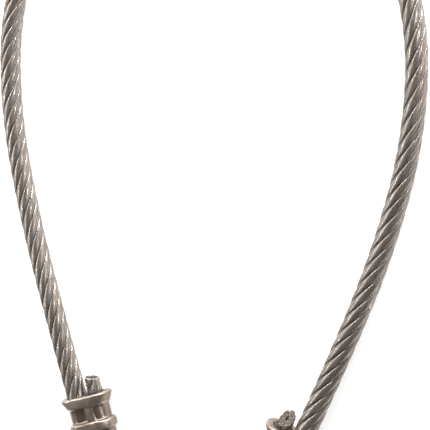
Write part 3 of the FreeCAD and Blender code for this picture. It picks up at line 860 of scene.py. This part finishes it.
def sleeve_metal():
    """Dull pressed metal: stained, finely scratched, with painted shade in the pressed pockets and its edges
    painted bright for wear and a painted highlight.
    """
    shader = Shader("sleeve_metal")
    pressed = shader.attribute("pressed")
    stain = shader.noise(90, detail=5, roughness=0.65)
    grain = shader.noise(1400, detail=3)
    scratch_a = shader.noise(260, detail=4, roughness=0.7, stretch=(1, 14, 6), turn=0.5)
    scratch_b = shader.noise(300, detail=4, roughness=0.7, stretch=(12, 1, 5), turn=-0.3)
    worn = shader.calculated("MULTIPLY", shader.attribute("wear"), shader.scaled(stain, 0.3, 0.6, 0.5, 1))
    color = shader.mixed(shader.scaled(stain, 0.35, 0.65, 0, 1), *SLEEVE)
    # Painted shade: the pressed pockets are drawn darker.
    color = shader.mixed(shader.scaled(pressed, 0, 1, 0, 0.4), color, SHADED_POCKET)
    color = shader.mixed(shader.scaled(scratch_a, 0.6, 0.72, 0, 0.5), color, BRIGHT_SCRATCH)
    color = shader.mixed(shader.scaled(scratch_b, 0.62, 0.74, 0, 0.45), color, DARK_SCRATCH)
    # Edges painted bright: wear, and a painted highlight.
    color = shader.mixed(shader.scaled(worn, 0.3, 1, 0, 0.5), color, WORN_AND_HIGHLIT_EDGE)
    roughness = shader.scaled(stain, 0.3, 0.7, 0.46, 0.36)
    roughness = shader.calculated("ADD", roughness, shader.scaled(grain, 0.3, 0.7, -0.05, 0.06))
    roughness = shader.calculated("SUBTRACT", roughness, shader.scaled(worn, 0.3, 1, 0, 0.1))
    roughness = shader.calculated("SUBTRACT", roughness, shader.scaled(pressed, 0, 1, 0, 0.1))
    height = shader.calculated("ADD", grain, shader.scaled(scratch_a, 0.55, 0.75, 0, 1.5))
    height = shader.calculated("SUBTRACT", height, shader.scaled(scratch_b, 0.6, 0.75, 0, 1.2))
    shader.bump(height, 0.14, 0.06 * MM)
    return shader.finish(color, roughness, 0.92)


def zinc():
    """Galvanised steel strip, worn on the side where the pin bears."""
    shader = Shader("zinc")
    cloud = shader.noise(160, detail=4, roughness=0.6)
    grain = shader.noise(1800, detail=3)
    scratch = shader.noise(320, detail=4, roughness=0.7, stretch=(1, 1, 16))
    worn = shader.calculated("MULTIPLY", shader.attribute("wear"), shader.scaled(cloud, 0.3, 0.7, 0.15, 0.5))
    color = shader.mixed(shader.scaled(cloud, 0.35, 0.65, 0, 1), *ZINC)
    color = shader.mixed(shader.scaled(scratch, 0.6, 0.75, 0, 0.4), color, SCRATCHED_ZINC)
    color = shader.mixed(worn, color, WORN_ZINC)
    roughness = shader.scaled(cloud, 0.3, 0.7, 0.45, 0.34)
    roughness = shader.calculated("ADD", roughness, shader.scaled(grain, 0.3, 0.7, -0.04, 0.05))
    shader.bump(shader.calculated("ADD", grain, scratch), 0.22, 0.06 * MM)
    return shader.finish(color, roughness, 0.95)


def floor_paint():
    """Plain white, and a little lit from within, like the glass of a light table."""
    shader = Shader("floor_paint")
    shader.surface.inputs["Emission Color"].default_value = (1, 1, 1, 1)
    shader.surface.inputs["Emission Strength"].default_value = FLOOR_GLOW
    return shader.finish(FLOOR, 0.7, 0.0)


# --- stage ---------------------------------------------------------------------------------------------

FLOOR_HALF = 6.0
LIGHT_DISTANCE = 1.3
WORLD_COLOR = (1.0, 0.985, 0.965, 1)
WORLD_STRENGTH = 0.22


def make_floor():
    corners = [(x * FLOOR_HALF, y * FLOOR_HALF, 0) for x, y in ((-1, -1), (1, -1), (1, 1), (-1, 1))]
    floor = new_piece("floor", corners, [(0, 1, 2, 3)], smooth=False)
    floor.data.materials.append(floor_paint())


def make_light(name, direction, along, width, height, power):
    """An area light aimed at the middle of the sling, its width along a given direction."""
    light = bpy.data.lights.new(name, "AREA")
    light.shape = "RECTANGLE"
    light.size = width
    light.size_y = height
    light.energy = power
    lamp = bpy.data.objects.new(name, light)
    away = Vector(direction).normalized()
    upward = away.cross(Vector(along)).normalized()
    turn = Matrix((upward.cross(away), upward, away)).transposed().to_4x4()
    lamp.matrix_world = Matrix.Translation(away * LIGHT_DISTANCE) @ turn
    bpy.context.scene.collection.objects.link(lamp)


def light_the_stage():
    """Two long strips draw the bright lines on the strands, and the key the one in sleeve A's pocket."""
    make_light("left strip", (-0.80, 0.18, 0.57), (0, 1, 0), width=1.6, height=0.05, power=14)
    make_light("back strip", (0.166, 0.848, 0.502), CAMERA_RIGHT, width=2.6, height=0.14, power=46)
    make_light("key", (0.768, 0.284, 0.574), CAMERA_RIGHT, width=0.2, height=0.2, power=4.5)
    world = bpy.data.worlds.new("world")
    world.use_nodes = True
    background = next(node for node in world.node_tree.nodes if node.type == "BACKGROUND")
    background.inputs["Color"].default_value = WORLD_COLOR
    background.inputs["Strength"].default_value = WORLD_STRENGTH
    bpy.context.scene.world = world
    bpy.context.scene.view_settings.view_transform = "Standard"


# --- the whole sling -----------------------------------------------------------------------------------

make_camera()
materials = {
    "rope_steel": rope_steel(),
    "cut_wire": cut_wire(),
    "fibre": fibre(),
    "sleeve_metal": sleeve_metal(),
    "zinc": zinc(),
}
draw = random.Random(RANDOM_SEED)
body_nodes = ("body_rope_strands", "body_rope_core")
make_rope("body_rope", body_route(), body_nodes, draw)
for end in ("a", "b"):
    eye_nodes = (f"eye_rope_strands_{end}", f"eye_rope_core_{end}")
    make_rope(f"eye_rope_{end}", eye_route(end), eye_nodes, draw)
    make_dead_end(end, draw)
    make_sleeve(end)
    make_thimble(end)
    for leg in ("live", "return"):
        hidden_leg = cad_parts[f"{leg}_leg_in_ferrule_{end}"].data
        hidden_leg.materials.clear()
        hidden_leg.materials.append(materials["rope_steel"])
make_floor()
light_the_stage()
